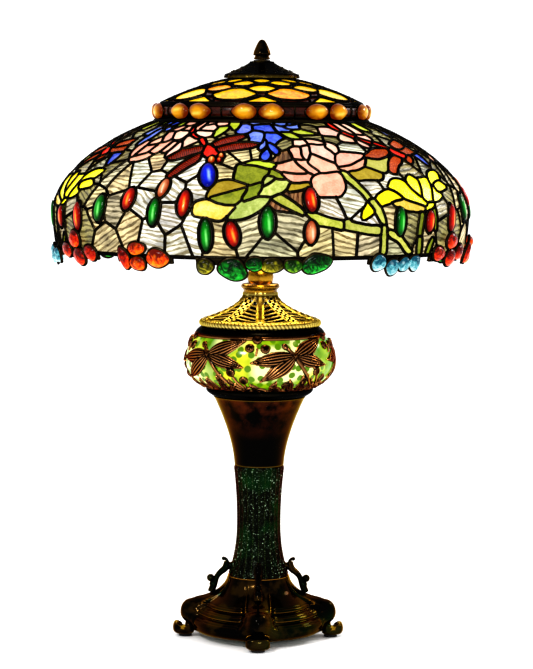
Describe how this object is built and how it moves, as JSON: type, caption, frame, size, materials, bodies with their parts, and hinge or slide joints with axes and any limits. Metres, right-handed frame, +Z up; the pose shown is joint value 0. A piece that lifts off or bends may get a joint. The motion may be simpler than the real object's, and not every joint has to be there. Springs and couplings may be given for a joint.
{
  "type": "stained glass table lamp",
  "caption": "Table lamp with a domed leaded-glass shade and jewelled rim, a lit glass bowl with a metal overlay in its stem, and a cast foot with four knees.",
  "frame": {"origin": "on the table, under the middle of the lamp", "axes": "+Z up along the lamp's axis; -Y towards the front, the side in the picture"},
  "size_m": [0.554, 0.554, 0.8],
  "materials": {
    "bronze": null,
    "gilt": "aged gold plate over a casting",
    "brass": "satin brass",
    "steel": "zinc-plated steel",
    "black_plastic": "black phenolic",
    "felt": "green felt",
    "bowl_glass": "yellow-green dappled glass, lit from inside",
    "bulb_glass": "frosted, lit",
    "shade_glass": "leaded art glass in many colours, lit from inside",
    "crown_glass": "yellow and amber streaky glass in dark lead",
    "amber_glass": "amber cabochons between red-brown glass",
    "red_glass": "polished red and orange cabochons",
    "green_glass": "polished green cabochons",
    "aqua_glass": "polished pale blue cabochons"
  },
  "bodies": {
    "stand": {"base_casting": "bronze", "scroll_arm_right": "bronze", "scroll_arm_back": "bronze", "scroll_arm_left": "bronze", "scroll_arm_front": "bronze", "column_sleeve": "bronze", "column_flare": "bronze", "bowl_seat": "bronze", "dragonfly_overlay": "bronze", "gallery_ring": "bronze", "pierced_lid": "gilt", "rope_edging": "gilt", "lid_collar": "gilt", "neck_ball": "gilt", "night_light_bracket": "brass", "spacer_tube": "brass", "socket_cluster": "brass", "socket_1": "brass", "socket_2": "brass", "socket_3": "brass", "shade_riser": "brass", "base_cover_plate": "steel", "threaded_rod": "steel", "rod_washer": "steel", "rod_nut": "steel", "cord_bushing": "black_plastic", "night_light_socket": "black_plastic", "foot_pad_right": "felt", "foot_pad_back": "felt", "foot_pad_left": "felt", "foot_pad_front": "felt", "base_felt": "felt", "glass_bowl": "bowl_glass", "bulb_1": "bulb_glass", "bulb_2": "bulb_glass", "bulb_3": "bulb_glass", "night_light_bulb": "bulb_glass"},
    "shade": {"shade_wheel": "brass", "shade_dome": "shade_glass", "crown_band": "amber_glass", "crown_dome": "crown_glass", "aperture_ring": "brass", "heat_cap": "bronze", "rim_jewels_red_1": "red_glass", "rim_jewels_red_2": "red_glass", "rim_jewels_red_3": "red_glass", "rim_jewels_orange_1": "red_glass", "rim_jewels_orange_2": "red_glass", "rim_jewels_orange_3": "red_glass", "rim_jewels_green_1": "green_glass", "rim_jewels_green_2": "green_glass", "rim_jewels_green_3": "green_glass", "rim_jewels_aqua_1": "aqua_glass", "rim_jewels_aqua_2": "aqua_glass", "rim_jewels_aqua_3": "aqua_glass"},
    "finial_washer": {"finial_washer": "brass"},
    "finial": {"finial": "bronze"},
    "chain_1": {"pull_chain_1": "brass"},
    "chain_2": {"pull_chain_2": "brass"},
    "chain_3": {"pull_chain_3": "brass"}
  },
  "joints": [
    {"name": "shade_turn", "type": "hinge", "parent": "stand", "child": "shade", "pos_m": [0, 0, 0.741], "axis": [0, 0, 1], "continuous": true},
    {"name": "finial_rise", "type": "slide", "parent": "stand", "child": "finial_washer", "axis": [0, 0, 1], "range_m": [0, 0.0075]},
    {"name": "finial_turn", "type": "hinge", "parent": "finial_washer", "child": "finial", "pos_m": [0, 0, 0.78], "axis": [0, 0, 1], "range_deg": [0, 2880]},
    {"name": "chain_1_pull", "type": "slide", "parent": "stand", "child": "chain_1", "axis": [0, 0, -1], "range_m": [0, 0.009], "stiffness_N_per_m": 250, "springref_m": -0.002},
    {"name": "chain_2_pull", "type": "slide", "parent": "stand", "child": "chain_2", "axis": [0, 0, -1], "range_m": [0, 0.009], "stiffness_N_per_m": 250, "springref_m": -0.002},
    {"name": "chain_3_pull", "type": "slide", "parent": "stand", "child": "chain_3", "axis": [0, 0, -1], "range_m": [0, 0.009], "stiffness_N_per_m": 250, "springref_m": -0.002}
  ],
  "couplings": [
    {"joint": "finial_turn", "follows": "finial_rise", "rad_per_m": 6679}
  ]
}
